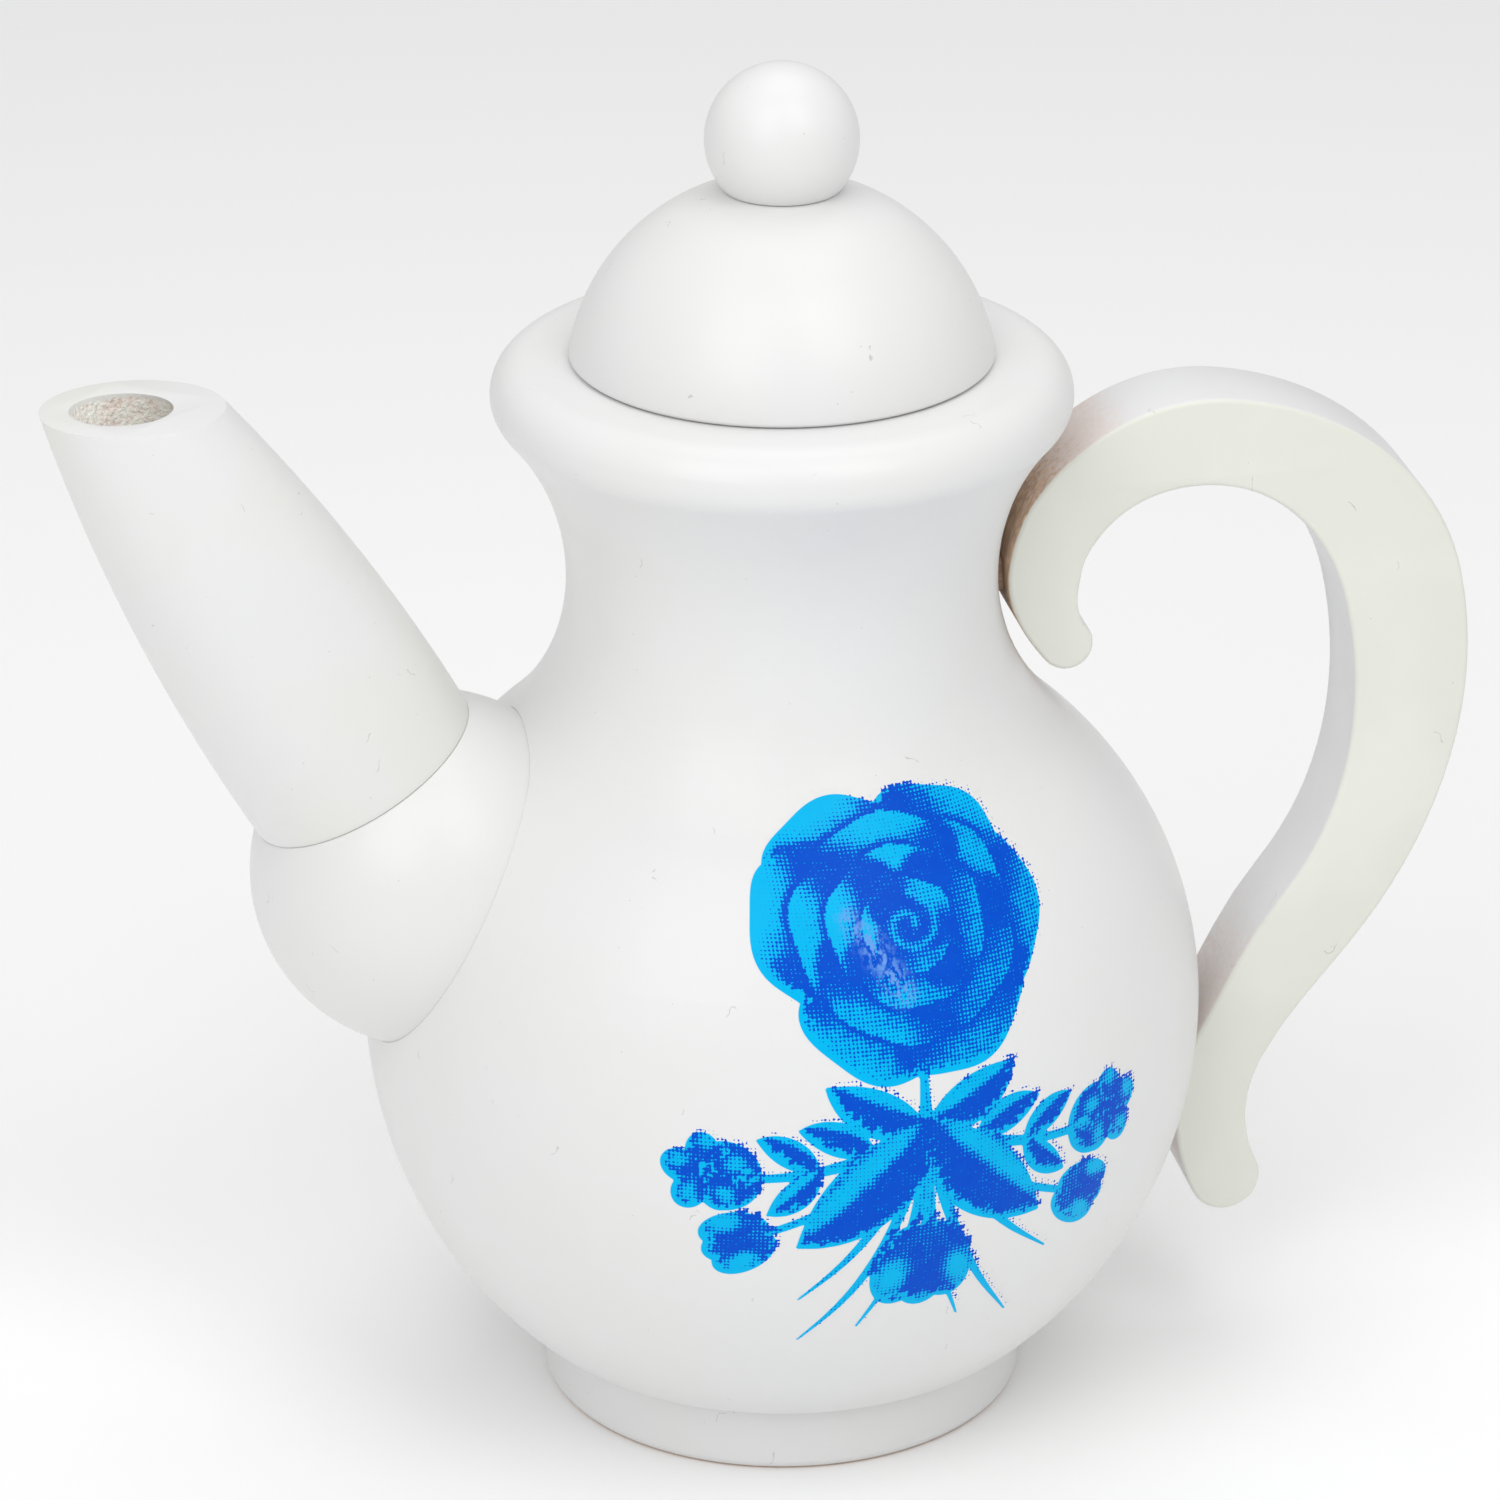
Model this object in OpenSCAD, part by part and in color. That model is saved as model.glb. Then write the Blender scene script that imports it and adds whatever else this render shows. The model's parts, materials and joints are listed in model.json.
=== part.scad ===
// Turned and painted wooden teapot with a lift-off lid.
// Origin: centre of the foot's flat underside. +Z up, +X towards the handle, -X towards the spout.

/* [Body] */
// Radius of the belly at its widest
belly_r = 50.7; // [49:0.1:52]
// Height of the widest point above the table
belly_z = 50; // [49:0.1:51]
// Radius of the lower belly's arc
belly_arc_low = 54; // [51:0.1:56]
// Radius of the neck at its waist
neck_r = 25.6; // [25:0.1:27]
// Height of the neck's waist
neck_z = 105.5; // [105:0.1:107]
// Radius of the hollow arc below the waist
neck_arc_low = 27; // [25:0.5:30]
// Radius of the hollow arc above the waist
neck_arc_high = 30; // [29:0.5:31]
// Largest radius of the rim
rim_r = 34.2; // [33.5:0.1:35]
// Radius of the rim's rounded edge
rim_edge = 4.5; // [4:0.1:5]
// Radius of the hollow in the belly
cavity_r = 24; // [20:0.5:24.5]
// Radius of the hollow in the neck
throat_r = 17.5; // [16:0.5:18]
// Radius of the mouth that takes the lid's spigot
mouth_r = 20; // [19:0.1:21]
// Depth of the mouth's step
mouth_depth = 9; // [8:0.5:12]
// Thickness of wood left under the hollow, above the foot
floor_t = 10; // [8:0.5:14]

/* [Foot] */
// Radius of the foot disc
foot_r = 29.5; // [29:0.1:31]
// Height of the foot disc
foot_h = 9.2; // [8.5:0.1:10]
// Rounding of the foot's lower edge
foot_edge = 1.4; // [0.8:0.1:2]
// Radius of the spigot that is glued into the body
foot_spigot_r = 12; // [10:0.5:14]
// Height of that spigot
foot_spigot_h = 5; // [4:0.5:6]

/* [Lid and knob] */
// Radius of the lid's dome
dome_r = 25.4; // [25:0.1:26]
// How far the dome's centre lies below the lid's lower face
dome_drop = 4.2; // [3.5:0.1:5]
// Height of the lid's spigot
spigot_h = 6; // [5:0.5:8]
// Radial room between the lid's spigot and the mouth
spigot_play = 0.5; // [0.3:0.1:0.8]
// Gap under the lid where it rests on the rim
lid_gap = 0.1; // [0.05:0.05:0.3]
// Diameter of the knob ball
knob_d = 18; // [17:0.5:20]
// Radius of the flat where knob and lid are glued
knob_seat_r = 6.8; // [6:0.1:7.5]

/* [Spout] */
// Diameter of the ball that carries the spout
ball_d = 43; // [42:0.5:44]
// Distance of the ball's centre from the body's axis
ball_x = 42.8; // [42:0.1:44]
// Height of the ball's centre
ball_z = 70.5; // [69:0.1:72]
// Distance of the ball's flat back from the body's axis
ball_back = 30; // [29.5:0.1:31]
// Lean of the spout from vertical, in degrees
spout_lean = 29.5; // [27:0.5:32]
// Radius of the spout where it meets the ball
spout_r = 14.6; // [14:0.1:15]
// Radius of the arc that bulges the spout's side
spout_arc = 225; // [200:5:260]
// Distance along the spout to its thickest ring
spout_bulge = 5.3; // [4:0.1:7]
// Height of the level cut at the spout's mouth
spout_top = 131.4; // [128:0.1:134]
// Diameter of the pouring hole
bore_d = 10.5; // [8:0.5:11]
// Radius of the tenon glued into the ball
tenon_r = 8; // [7.5:0.1:9]
// Length of that tenon
tenon_h = 9; // [8:0.5:10]

/* [Handle] */
// Thickness of the handle board
board_t = 12; // [10:0.5:13]
// Where the upper curl's end is centred
curl_x = 33.5; // [33:0.1:34.5]
// Height of the upper curl's end
curl_z = 95.6; // [95:0.1:96.5]
// Distance of the lower dowel below the widest point
low_dowel_drop = 15; // [13:0.5:17]

/* [Dowels and glue] */
// Diameter of the three wooden dowels
dowel_d = 5; // [4:0.5:6]
// Length of the knob's dowel
knob_dowel_h = 14; // [12:0.5:16]
// Length of the handle's upper dowel
upper_dowel_h = 11.5; // [10:0.5:12]
// Length of the handle's lower dowel
lower_dowel_h = 16; // [14:0.5:18]
// Room left for glue between glued pieces
glue = 0.05; // [0.02:0.01:0.1]

/* [Quality] */
// Number of facets on round shapes in the preview
facets = 96; // [48:8:128]
// Degrees from one outline point to the next
arc_step = 3; // [2:0.5:6]

/* [Hidden] */
$fn = facets;
// How far a cutting shape reaches past the face that it opens
past = 1;
// Size of a block that is larger than the teapot
block = 300;

// Arcs of the handle's centre line, from the upper curl's end to the lower one:
// [radius in mm, turn in degrees], positive turns to the right
handle_arcs = [[12.4, 49], [14.5, 28], [20.5, 60], [26.5, 70], [51.5, 51], [99, -11], [20.5, -53]];
// Half the board's width where each arc starts, and at the last one's end
handle_half = [3.2, 4.5, 4.8, 5.5, 7.3, 5.7, 4.6, 4.4];
// Heading at the upper curl's end, in degrees from +X
curl_heading = 130;

// Body outline: centres of its arcs as [radius, height]
low_c = [belly_r - belly_arc_low, belly_z];
neck_low_c = [neck_r + neck_arc_low, neck_z];
neck_high_c = [neck_r + neck_arc_high, neck_z];
waist_rise = neck_z - belly_z;
waist_in = neck_low_c[0] - belly_r;
// Upper belly arc that meets both the widest point and the neck's arc without a corner
belly_arc_high = (waist_in^2 + waist_rise^2 - neck_arc_low^2) / (2 * (neck_arc_low - waist_in));
high_c = [belly_r - belly_arc_high, belly_z];
shoulder_a = atan2(neck_z - belly_z, neck_low_c[0] - high_c[0]);
rim_x = rim_r - rim_edge;
rim_rise = sqrt((neck_arc_high + rim_edge)^2 - (neck_high_c[0] - rim_x)^2);
rim_c = [rim_x, neck_z + rim_rise];
rim_a = atan2(rim_rise, neck_high_c[0] - rim_x);
rim_top = rim_c[1] + rim_edge;
edge_break = 0.4;
foot_a = asin((foot_h - belly_z) / belly_arc_low);
low_a = asin((foot_h + edge_break - belly_z) / belly_arc_low);
mouth_z = rim_top - mouth_depth;
cavity_floor = foot_h + floor_t;
cavity_round = 12;
cavity_top = 86;
throat_slope = 9;
throat_z = cavity_top + throat_slope;
foot_spigot_room = 0.3;

// Lid
lid_z = rim_top + lid_gap;
dome_z = lid_z - dome_drop;
knob_r = knob_d / 2;
seat_z = dome_z + sqrt(dome_r^2 - knob_seat_r^2);
knob_z = seat_z + glue + sqrt(knob_r^2 - knob_seat_r^2);

// Spout
ball_r = ball_d / 2;
bore_r = bore_d / 2;
seat_h = sqrt(ball_r^2 - spout_r^2);
spout_len = (spout_top - ball_z) / cos(spout_lean) - seat_h;
spout_over = 12;
spout_rings = 24;
tenon_room = 0.5;

// Dowels
dowel_r = dowel_d / 2;
dowel_room = 0.2;
upper_dowel_drop = 2;
upper_dowel_z = neck_z - upper_dowel_drop;
upper_dowel_x = 19.9;
lower_dowel_z = belly_z - low_dowel_drop;
lower_dowel_x = 39.2;

// Points on an arc round c from angle a0 to a1
function arc(c, r, a0, a1) =
    let (n = max(2, ceil(abs(a1 - a0) / arc_step)))
    [for (i = [0:n]) c + r * [cos(a0 + (a1 - a0) * i / n), sin(a0 + (a1 - a0) * i / n)]];

// Outside of the body from the foot to the rim's top, with every radius grown by grow
function body_side(grow) = concat(
    [[0, foot_h], [low_c[0] + (belly_arc_low + grow) * cos(foot_a) - edge_break, foot_h]],
    arc(low_c, belly_arc_low + grow, low_a, 0),
    arc(high_c, belly_arc_high + grow, arc_step, shoulder_a),
    arc(neck_low_c, neck_arc_low - grow, 180 + shoulder_a - arc_step, 180),
    arc(neck_high_c, neck_arc_high - grow, 180 - arc_step, 180 - rim_a),
    arc(rim_c, rim_edge + grow, -rim_a + arc_step, 90)
);

// The hollow's outline, from the floor to above the mouth
function hollow_side() = concat(
    [[0, cavity_floor]],
    arc([cavity_r - cavity_round, cavity_floor + cavity_round], cavity_round, -90, 0),
    [[cavity_r, cavity_top], [throat_r, throat_z], [throat_r, mouth_z], [mouth_r, mouth_z],
     [mouth_r, rim_top - edge_break], [mouth_r + edge_break, rim_top], [mouth_r + edge_break, rim_top + past],
     [0, rim_top + past]]
);

function foot_side() = concat(
    [[0, 0]],
    arc([foot_r - foot_edge, foot_edge], foot_edge, -90, 0),
    [[foot_r, foot_h - edge_break], [foot_r - edge_break, foot_h - glue], [foot_spigot_r, foot_h - glue],
     [foot_spigot_r, foot_h + foot_spigot_h], [0, foot_h + foot_spigot_h]]
);

// Lid: spigot, lower face with a broken edge, then the dome up to the knob's seat
function lid_side() =
    let (edge_a = asin((dome_drop + edge_break) / dome_r), spigot_r = mouth_r - spigot_play)
    concat(
        [[0, lid_z - spigot_h], [spigot_r - edge_break, lid_z - spigot_h],
         [spigot_r, lid_z - spigot_h + edge_break], [spigot_r, lid_z],
         [dome_r * cos(edge_a) - edge_break, lid_z]],
        arc([0, dome_z], dome_r, edge_a, acos(knob_seat_r / dome_r)),
        [[0, seat_z]]
    );

// Radius of the spout at a distance s along it
function spout_at(s) =
    spout_r + sqrt(spout_arc^2 - (s - spout_bulge)^2) - sqrt(spout_arc^2 - spout_bulge^2);

function spout_side() =
    let (far = spout_len + spout_over)
    concat(
        [[0, -tenon_h], [tenon_r, -tenon_h], [tenon_r, glue]],
        [for (i = [0:spout_rings]) let (s = glue + (far - glue) * i / spout_rings) [spout_at(s), s]],
        [[0, far]]
    );

// Handle: the centre line is followed arc by arc, each step as [point, heading, half width]
function blend(u) = (1 - cos(180 * u)) / 2;
function arc_end(p, a, seg) = let (side = sign(seg[1]), c = p + seg[0] * side * [sin(a), -cos(a)])
    c - seg[0] * side * [sin(a - seg[1]), -cos(a - seg[1])];
function spine(i, p, a) = i == len(handle_arcs) ? [[p, a, handle_half[i]]] :
    let (
        seg = handle_arcs[i],
        n = max(4, ceil(abs(seg[1]) / arc_step)),
        width = handle_half[i + 1] - handle_half[i]
    )
    concat(
        [for (k = [0:n - 1]) [
            arc_end(p, a, [seg[0], seg[1] * k / n]), a - seg[1] * k / n, handle_half[i] + width * blend(k / n)
        ]],
        spine(i + 1, arc_end(p, a, seg), a - seg[1])
    );
function edge_point(s, side) = s[0] + side * s[2] * [-sin(s[1]), cos(s[1])];
function handle_outline() =
    let (line = spine(0, [curl_x, curl_z], curl_heading), last = len(line) - 1, cap_step = 12)
    concat(
        [for (i = [0:last]) edge_point(line[i], 1)],
        [for (t = [90 - cap_step:-cap_step:-90 + cap_step])
            line[last][0] + line[last][2] * [cos(line[last][1] + t), sin(line[last][1] + t)]],
        [for (i = [last:-1:0]) edge_point(line[i], -1)],
        [for (t = [90 - cap_step:-cap_step:-90 + cap_step])
            line[0][0] + line[0][2] * [cos(line[0][1] + 180 + t), sin(line[0][1] + 180 + t)]]
    );

module body_blank(grow) {
    rotate_extrude() polygon(concat(body_side(grow), [[0, rim_top + grow]]));
}

// Places children on the spout's axis, with +Z along it and the origin at the ball's centre
module on_spout_axis() {
    translate([-ball_x, 0, ball_z]) rotate([0, -spout_lean, 0]) children();
}

// A rod along +X that starts at x
module rod_x(x, z, r, length) {
    translate([x, 0, z]) rotate([0, 90, 0]) cylinder(r = r, h = length);
}

// The spout's ball without its holes: flat at the back, and flat where the spout stands on it
module ball_blank(grow) {
    intersection() {
        translate([-ball_x, 0, ball_z]) sphere(r = ball_r + grow);
        translate([-ball_back + grow - block, -block / 2, 0]) cube(block);
    }
}

module body() {
    color("white")
    difference() {
        body_blank(0);
        rotate_extrude() polygon(hollow_side());
        ball_blank(2 * glue);
        rod_x(-ball_back - past, ball_z, bore_r, ball_back + past);
        translate([0, 0, foot_h - past])
            cylinder(r = foot_spigot_r + glue, h = past + foot_spigot_h + foot_spigot_room);
        rod_x(upper_dowel_x - dowel_room, upper_dowel_z, dowel_r + glue, neck_r);
        rod_x(lower_dowel_x - dowel_room, lower_dowel_z, dowel_r + glue, belly_r);
    }
}

module foot() {
    color("white")
    rotate_extrude() polygon(foot_side());
}

module lid() {
    color("white")
    difference() {
        rotate_extrude() polygon(lid_side());
        translate([0, 0, seat_z - knob_dowel_h / 2 - dowel_room])
            cylinder(r = dowel_r + glue, h = knob_dowel_h);
    }
}

module knob() {
    color("white")
    difference() {
        translate([0, 0, knob_z]) sphere(r = knob_r);
        translate([-block / 2, -block / 2, seat_z + glue - block]) cube(block);
        translate([0, 0, seat_z - past])
            cylinder(r = dowel_r + glue, h = past + knob_dowel_h / 2 + dowel_room);
    }
}

module knob_dowel() {
    color("burlywood")
    translate([0, 0, seat_z - knob_dowel_h / 2]) cylinder(r = dowel_r, h = knob_dowel_h);
}

module spout_ball() {
    color("white")
    difference() {
        ball_blank(0);
        on_spout_axis() {
            translate([-block / 2, -block / 2, seat_h]) cube(block);
            translate([0, 0, seat_h - tenon_h - tenon_room])
                cylinder(r = tenon_r + glue, h = tenon_h + ball_r);
            cylinder(r = bore_r, h = ball_r);
        }
        rod_x(-ball_x - bore_r / 2, ball_z, bore_r, ball_x);
    }
}

module spout() {
    color("ivory")
    difference() {
        on_spout_axis() translate([0, 0, seat_h]) rotate_extrude() polygon(spout_side());
        on_spout_axis() cylinder(r = bore_r, h = seat_h + spout_len + spout_over + past);
        translate([-block, -block / 2, spout_top]) cube(block);
    }
}

module handle() {
    color("ivory")
    difference() {
        translate([0, board_t / 2, 0]) rotate([90, 0, 0])
            linear_extrude(height = board_t) polygon(handle_outline());
        body_blank(glue);
        rod_x(0, upper_dowel_z, dowel_r + glue, upper_dowel_x + upper_dowel_h + dowel_room);
        rod_x(0, lower_dowel_z, dowel_r + glue, lower_dowel_x + lower_dowel_h + dowel_room);
    }
}

module upper_handle_dowel() {
    color("burlywood") rod_x(upper_dowel_x, upper_dowel_z, dowel_r, upper_dowel_h);
}

module lower_handle_dowel() {
    color("burlywood") rod_x(lower_dowel_x, lower_dowel_z, dowel_r, lower_dowel_h);
}

body();
foot();
lid();
knob();
knob_dowel();
spout_ball();
spout();
handle();
upper_handle_dowel();
lower_handle_dowel();
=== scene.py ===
"""Looks of the painted wooden teapot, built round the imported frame.

Lengths are metres, or millimetres times MM.
"""

import json
import math

import bmesh
import bpy
import numpy as np
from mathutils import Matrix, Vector, noise
from mathutils.bvhtree import BVHTree


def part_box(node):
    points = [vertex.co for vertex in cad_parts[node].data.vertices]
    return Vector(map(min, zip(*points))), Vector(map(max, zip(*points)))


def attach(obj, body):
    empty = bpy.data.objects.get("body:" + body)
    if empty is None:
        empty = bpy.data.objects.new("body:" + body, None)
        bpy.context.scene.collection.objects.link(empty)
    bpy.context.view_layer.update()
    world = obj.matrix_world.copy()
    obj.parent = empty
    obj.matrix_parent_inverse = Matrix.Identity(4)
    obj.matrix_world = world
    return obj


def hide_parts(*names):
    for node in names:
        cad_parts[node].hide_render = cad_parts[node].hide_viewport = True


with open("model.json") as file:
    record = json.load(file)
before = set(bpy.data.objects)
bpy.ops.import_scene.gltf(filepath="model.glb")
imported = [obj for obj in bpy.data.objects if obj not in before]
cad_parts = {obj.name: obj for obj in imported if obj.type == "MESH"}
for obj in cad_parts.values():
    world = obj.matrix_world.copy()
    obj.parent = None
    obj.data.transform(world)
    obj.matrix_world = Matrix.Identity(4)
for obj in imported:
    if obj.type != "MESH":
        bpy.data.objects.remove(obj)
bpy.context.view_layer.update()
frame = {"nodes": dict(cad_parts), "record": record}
MM = 0.001

# ---------------------------------------------------------------- places read from the frame
RIM_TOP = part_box("body")[1].z
SEAM_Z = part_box("body")[0].z
BALL_LOW, BALL_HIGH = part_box("spout_ball")
BALL_R = (BALL_HIGH.y - BALL_LOW.y) / 2
BALL_CENTRE = Vector((BALL_LOW.x + BALL_R, 0, BALL_LOW.z + BALL_R))
SPOUT_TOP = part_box("spout")[1].z
BORE = [m for m in frame["record"]["mounts"] if m["name"] == "spout_bore"][0]
BORE_R = BORE["dims"]["r_mm"] * MM
SPOUT_AXIS = Vector(BORE["axis"]).normalized()
BOARD_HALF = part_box("handle")[1].y
RIGHT, UP = Vector((1, 0, 0)), Vector((0, 0, 1))

# ---------------------------------------------------------------- sizes of the fine detail
TURNED_SEGMENTS = 256
OUTLINE_STEP = 0.8 * MM
CORNER = math.radians(12)
EDGE_ROUND = 0.22 * MM
GLUE_GAP = 0.04 * MM
BOARD_EDGE = 0.6 * MM
SHARP = math.radians(32)

# The mouth of the spout: how round its edges are, and how deep its painted lip goes before the rough wall
MOUTH_ROUND, LIP = 0.45 * MM, 0.6 * MM
WALL_STEP = 0.45 * MM
# The lid is bare below this height and within this radius, and the foot between these heights loses its paint
LID_BARE_TOP, LID_BARE_R = RIM_TOP + 0.2 * MM, 23.7 * MM
FOOT_BARE, FOOT_PAINTED = 0.15 * MM, 0.45 * MM
# A face of the handle whose normal has more than this share along Y belongs to the board's flat sides
FLAT_SHARE = 0.45

# The print, in millimetres: its grid, its dots, and how many grid steps the blue lies up and to the right
INK_STEP, DOT_PITCH = 0.25, 0.48
INK_SHIFT = 2
INK_TOP, INK_UNDER = 0.03 * MM, -0.02 * MM
PRINT_TURN = math.radians(6)

LIT_PLACE = Vector((0, 0, 80 * MM))
VIEWED_PLACE = Vector((0, 0, 80.24 * MM))
FLOOR_HALF = 4.0

# ---------------------------------------------------------------- colours, linear
WHITE = (0.775, 0.775, 0.775, 1)
WARM_WHITE = (0.77, 0.77, 0.758, 1)
# CREAM and CREAM_LIGHT paint a warm reflection into the colour of the handle's flat faces
CREAM = (0.745, 0.755, 0.685, 1)
CREAM_LIGHT = (0.78, 0.79, 0.725, 1)
PALE_CREAM = (0.765, 0.77, 0.735, 1)
SAWN_WHITE = (0.745, 0.745, 0.75, 1)
SAWN_WHITE_LIGHT = (0.76, 0.76, 0.765, 1)
WOOD = (0.80, 0.585, 0.42, 1)
WOOD_DARK = (0.55, 0.38, 0.26, 1)
TORN_WOOD = (0.72, 0.61, 0.54, 1)
TORN_WOOD_LIGHT = (0.92, 0.85, 0.79, 1)
TORN_CREAM = (0.90, 0.91, 0.85, 1)
PRIMER = (0.76, 0.66, 0.61, 1)
DUST = (0.33, 0.33, 0.33, 1)
CYAN = (0.0, 0.50, 0.88, 1)
BLUE = (0.0, 0.066, 0.58, 1)
CYAN_DEEP = (0.0, 0.43, 0.79, 1)
BLUE_PALE = (0.0, 0.088, 0.60, 1)
RUBBED = (0.14, 0.33, 0.78, 1)
FLOOR = (0.97, 0.97, 0.97, 1)


# ---------------------------------------------------------------- materials
class Shader:
    """A Principled material, with short calls for the nodes that feed it. Coordinates are in millimetres."""

    def __init__(self, name, roughness, **values):
        self.material = bpy.data.materials.new(name)
        self.material.use_nodes = True
        self.tree = self.material.node_tree
        self.skin = self.tree.nodes["Principled BSDF"]
        self.skin.inputs["Roughness"].default_value = roughness
        for key, value in values.items():
            self.skin.inputs[key.replace("_", " ")].default_value = value
        place = self.node("TexCoord").outputs["Object"]
        self.place = self.node("VectorMath", {0: place, "Scale": 1 / MM}, operation="SCALE").outputs[0]

    def node(self, kind, inputs=None, **settings):
        """A new node. An input that is a socket is linked, and any other is set."""
        made = self.tree.nodes.new("ShaderNode" + kind)
        for key, value in settings.items():
            setattr(made, key, value)
        for key, value in (inputs or {}).items():
            if isinstance(value, bpy.types.NodeSocket):
                self.tree.links.new(value, made.inputs[key])
            else:
                made.inputs[key].default_value = value
        return made

    def math(self, operation, a, b=0.0, c=0.0):
        """The result of one operation on numbers."""
        return self.node("Math", {0: a, 1: b, 2: c}, operation=operation).outputs[0]

    def vector(self, operation, a, b=None):
        """The result of one operation on vectors."""
        made = self.node("VectorMath", {0: a} if b is None else {0: a, 1: b}, operation=operation)
        return made.outputs["Value" if operation in ("DOT_PRODUCT", "LENGTH") else "Vector"]

    def mix(self, share, a, b):
        """Colour a with that share of colour b."""
        return self.node("Mix", {0: share, 6: a, 7: b}, data_type="RGBA").outputs[2]

    def noise(self, size, detail=2.0, place=None):
        """Noise whose features are about size millimetres wide."""
        inputs = {"Vector": place or self.place, "Scale": 1 / size, "Detail": detail}
        return self.node("TexNoise", inputs).outputs["Fac"]

    def ramp(self, value, low, high, start=0.0, end=1.0):
        """From start to end as value goes from low to high, smoothly."""
        inputs = {0: value, 1: low, 2: high, 3: start, 4: end}
        return self.node("MapRange", inputs, interpolation_type="SMOOTHSTEP").outputs[0]

    def attribute(self, name):
        """A number that the mesh holds at each vertex."""
        return self.node("Attribute", attribute_name=name).outputs["Fac"]

    def coat(self, main, tint):
        """Paint with a slight, slow change of tint, and dust on it."""
        painted = self.mix(self.ramp(self.noise(26, 3), 0.42, 0.66), main, tint)
        return self.mix(self.dust(), painted, DUST)

    def colour(self, socket):
        """Feeds the surface's colour."""
        self.tree.links.new(socket, self.skin.inputs["Base Color"])

    def roughness(self, socket):
        """Feeds the surface's roughness."""
        self.tree.links.new(socket, self.skin.inputs["Roughness"])

    def bump(self, height, depth, strength=1.0):
        """Bumps of that height in millimetres."""
        inputs = {"Height": height, "Distance": depth * MM, "Strength": strength}
        made = self.node("Bump", inputs)
        self.tree.links.new(made.outputs[0], self.skin.inputs["Normal"])

    def dust(self):
        """A mask of settled dust: sparse round specks, and short bent hairs that lie in random directions."""
        bend = self.node("TexNoise", {"Vector": self.place, "Scale": 0.9, "Detail": 0.0}).outputs["Color"]
        bend = self.vector("MULTIPLY", self.vector("SUBTRACT", bend, (0.5,) * 3), (1.6,) * 3)
        bent = self.vector("ADD", self.place, bend)
        cells = self.node("TexVoronoi", {"Vector": bent, "Scale": 0.16, "Randomness": 1.0})
        away = self.vector("SUBTRACT", bent, cells.outputs["Position"])
        turn = self.vector("NORMALIZE", self.vector("SUBTRACT", cells.outputs["Color"], (0.5,) * 3))
        off_line = self.math("ABSOLUTE", self.vector("DOT_PRODUCT", away, turn))
        line = self.ramp(off_line, 0.03, 0.075, 1.0, 0.0)
        near = self.ramp(self.vector("LENGTH", away), 0.75, 0.95, 1.0, 0.0)
        chance = self.node("SeparateColor", {0: cells.outputs["Color"]}).outputs[0]
        chosen = self.math("GREATER_THAN", chance, 0.55)
        hair = self.math("MULTIPLY", self.math("MULTIPLY", line, near), chosen)
        dots = self.node("TexVoronoi", {"Vector": self.place, "Scale": 0.33, "Randomness": 1.0})
        speck = self.ramp(dots.outputs["Distance"], 0.018, 0.032, 1.0, 0.0)
        return self.math("MAXIMUM", self.math("MULTIPLY", hair, 0.5), self.math("MULTIPLY", speck, 0.6))


def paint(name, main, tint, bare=None):
    """Brushed satin paint with a slight change of tint, fine orange peel and dust.

    With bare, the colour of thin paint, the mesh's attribute "bare" says where wood shows through."""
    s = Shader(name, 0.4, Specular_IOR_Level=0.36, Coat_Weight=0.06, Coat_Roughness=0.18)
    colour = s.coat(main, tint)
    rough = s.ramp(s.noise(7, 4), 0.25, 0.75, 0.33, 0.44)
    peel = s.noise(0.9, 2)
    if bare:
        unevenness = s.math("MULTIPLY", s.math("SUBTRACT", s.noise(0.8, 5), 0.5), 0.55)
        edge = s.math("ADD", s.attribute("bare"), unevenness)
        grain_place = s.vector("MULTIPLY", s.place, (1.0, 1.0, 0.14))
        grain = s.noise(0.55, 4, grain_place)
        thin = s.ramp(edge, 0.12, 0.55)
        bared = s.ramp(edge, 0.55, 0.85)
        colour = s.mix(s.math("MULTIPLY", thin, 0.85), colour, bare)
        colour = s.mix(bared, colour, s.mix(s.ramp(grain, 0.35, 0.65), WOOD_DARK, WOOD))
        rough = s.math("MAXIMUM", rough, s.math("MULTIPLY", thin, 0.72))
        peel = s.math("ADD", peel, s.math("MULTIPLY", s.math("MULTIPLY", grain, thin), 3.0))
    s.colour(colour)
    s.roughness(rough)
    s.bump(peel, 0.02, 0.6)
    return s.material


def bare_wood():
    """Plain turned beech: long pores along the stick and a soft change of tone."""
    s = Shader("bare_wood", 0.65)
    along = s.vector("MULTIPLY", s.place, (0.12, 1.0, 1.0))
    grain = s.noise(0.5, 5, along)
    s.colour(s.mix(s.ramp(grain, 0.3, 0.7), WOOD_DARK, WOOD))
    s.bump(grain, 0.06)
    return s.material


def drilled_wood():
    """The torn wall of a drilled hole in end grain: pale fibres, reddish wood and flecks of paint."""
    s = Shader("drilled_wood", 0.8)
    fibres = s.noise(0.5, 6)
    coarse = s.noise(2.2, 3)
    wood = s.mix(s.ramp(fibres, 0.35, 0.62), TORN_WOOD, TORN_WOOD_LIGHT)
    wood = s.mix(s.ramp(coarse, 0.42, 0.62), wood, TORN_CREAM)
    flecks = s.ramp(s.noise(0.75, 1), 0.68, 0.72)
    s.colour(s.mix(flecks, wood, WHITE))
    s.bump(s.math("ADD", fibres, coarse), 0.35)
    return s.material


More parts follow.
